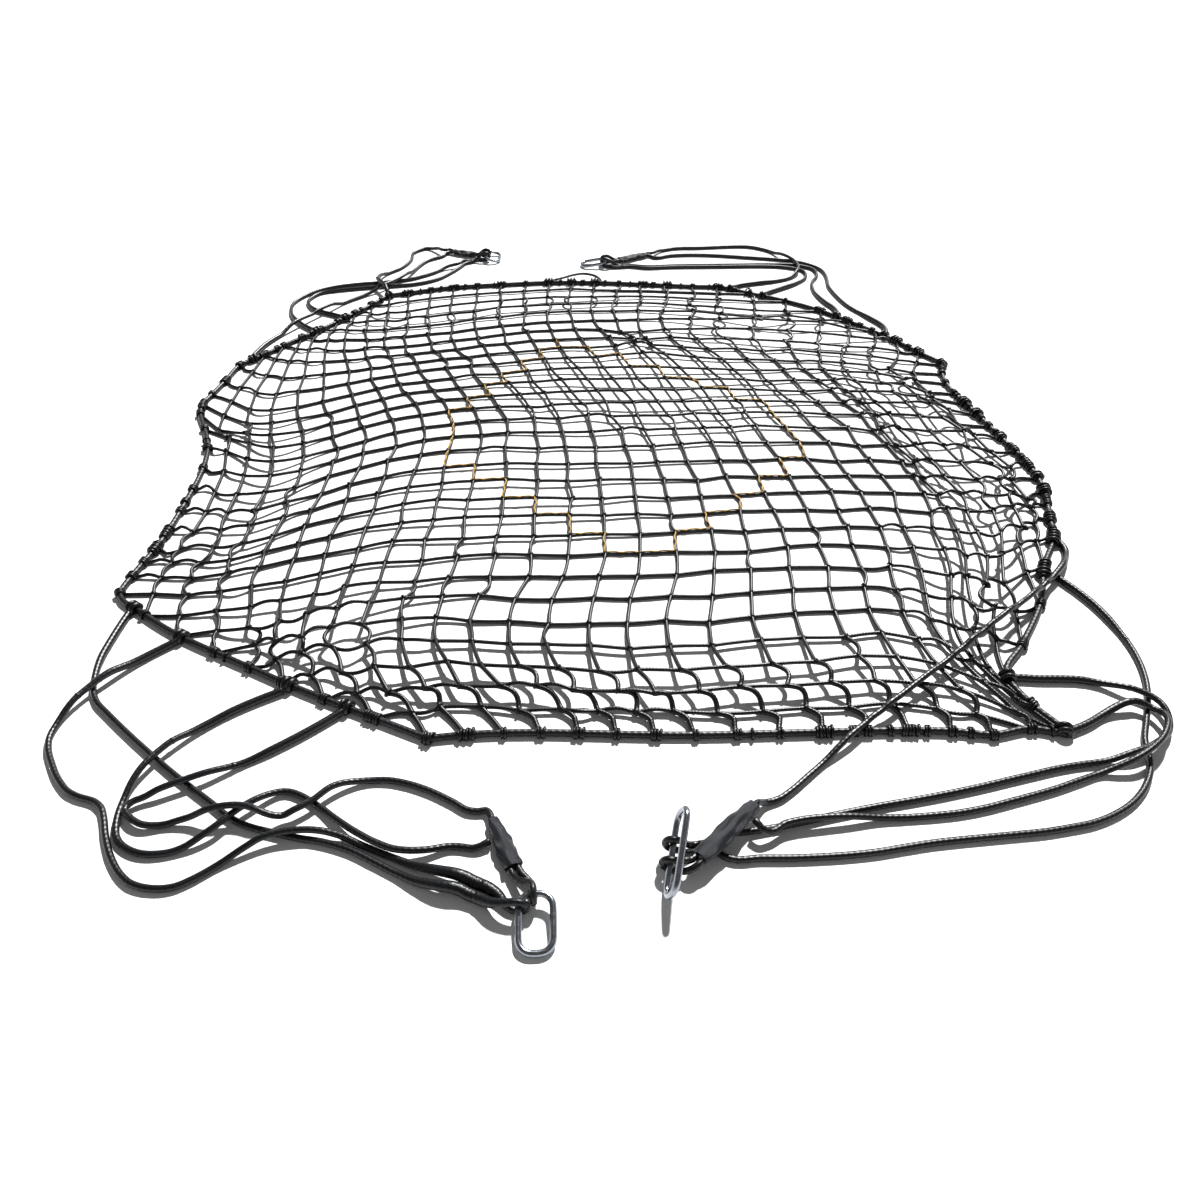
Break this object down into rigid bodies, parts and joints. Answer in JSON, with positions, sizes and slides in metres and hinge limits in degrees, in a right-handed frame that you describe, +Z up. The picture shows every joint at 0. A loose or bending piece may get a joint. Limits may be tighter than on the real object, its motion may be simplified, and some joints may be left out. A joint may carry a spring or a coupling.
{
  "type": "cargo net",
  "caption": "Eight-sided net of square black rope mesh in a heavy border rope, lying loose, with rope legs that meet in grey sleeves and oblong steel links at the corners.",
  "frame": {"origin": "middle of the footprint without the free leg ropes, on the surface that the net lies on", "axes": "+Z up from the surface, +Y from the net's near edge to its far edge, +X to the right of someone who looks along +Y"},
  "size_m": [3.6465, 4.7617, 0.1499],
  "materials": {
    "net_cord": "braided synthetic cord, slightly glossy",
    "border_rope": "laid synthetic rope, slightly glossy",
    "leg_rope": "braided synthetic rope, slightly glossy",
    "sleeve": "dull coated webbing",
    "link_steel": "dull forged and galvanised"
  },
  "bodies": {
    "root": {"net_panel": "net_cord", "border_rope": "border_rope", "rope_near_left_1": "leg_rope", "splice_near_left_1": "leg_rope", "rope_near_left_2": "leg_rope", "splice_near_left_2": "leg_rope", "rope_near_left_3": "leg_rope", "splice_near_left_3": "leg_rope", "rope_near_left_4": "leg_rope", "splice_near_left_4": "leg_rope", "eye_near_left_bare": "leg_rope", "eye_near_left_sleeved": "leg_rope", "sleeve_near_left": "sleeve", "link_near_left": "link_steel", "rope_near_right_1": "leg_rope", "splice_near_right_1": "leg_rope", "rope_near_right_2": "leg_rope", "splice_near_right_2": "leg_rope", "rope_near_right_3": "leg_rope", "splice_near_right_3": "leg_rope", "rope_near_right_4": "leg_rope", "splice_near_right_4": "leg_rope", "eye_near_right_bare": "leg_rope", "eye_near_right_sleeved": "leg_rope", "sleeve_near_right": "sleeve", "link_near_right": "link_steel", "rope_far_left_1": "leg_rope", "splice_far_left_1": "leg_rope", "rope_far_left_2": "leg_rope", "splice_far_left_2": "leg_rope", "rope_far_left_3": "leg_rope", "splice_far_left_3": "leg_rope", "rope_far_left_4": "leg_rope", "splice_far_left_4": "leg_rope", "eye_far_left_bare": "leg_rope", "eye_far_left_sleeved": "leg_rope", "sleeve_far_left": "sleeve", "link_far_left": "link_steel", "rope_far_right_1": "leg_rope", "splice_far_right_1": "leg_rope", "rope_far_right_2": "leg_rope", "splice_far_right_2": "leg_rope", "rope_far_right_3": "leg_rope", "splice_far_right_3": "leg_rope", "rope_far_right_4": "leg_rope", "splice_far_right_4": "leg_rope", "eye_far_right_bare": "leg_rope", "eye_far_right_sleeved": "leg_rope", "sleeve_far_right": "sleeve", "link_far_right": "link_steel"}
  },
  "joints": []
}
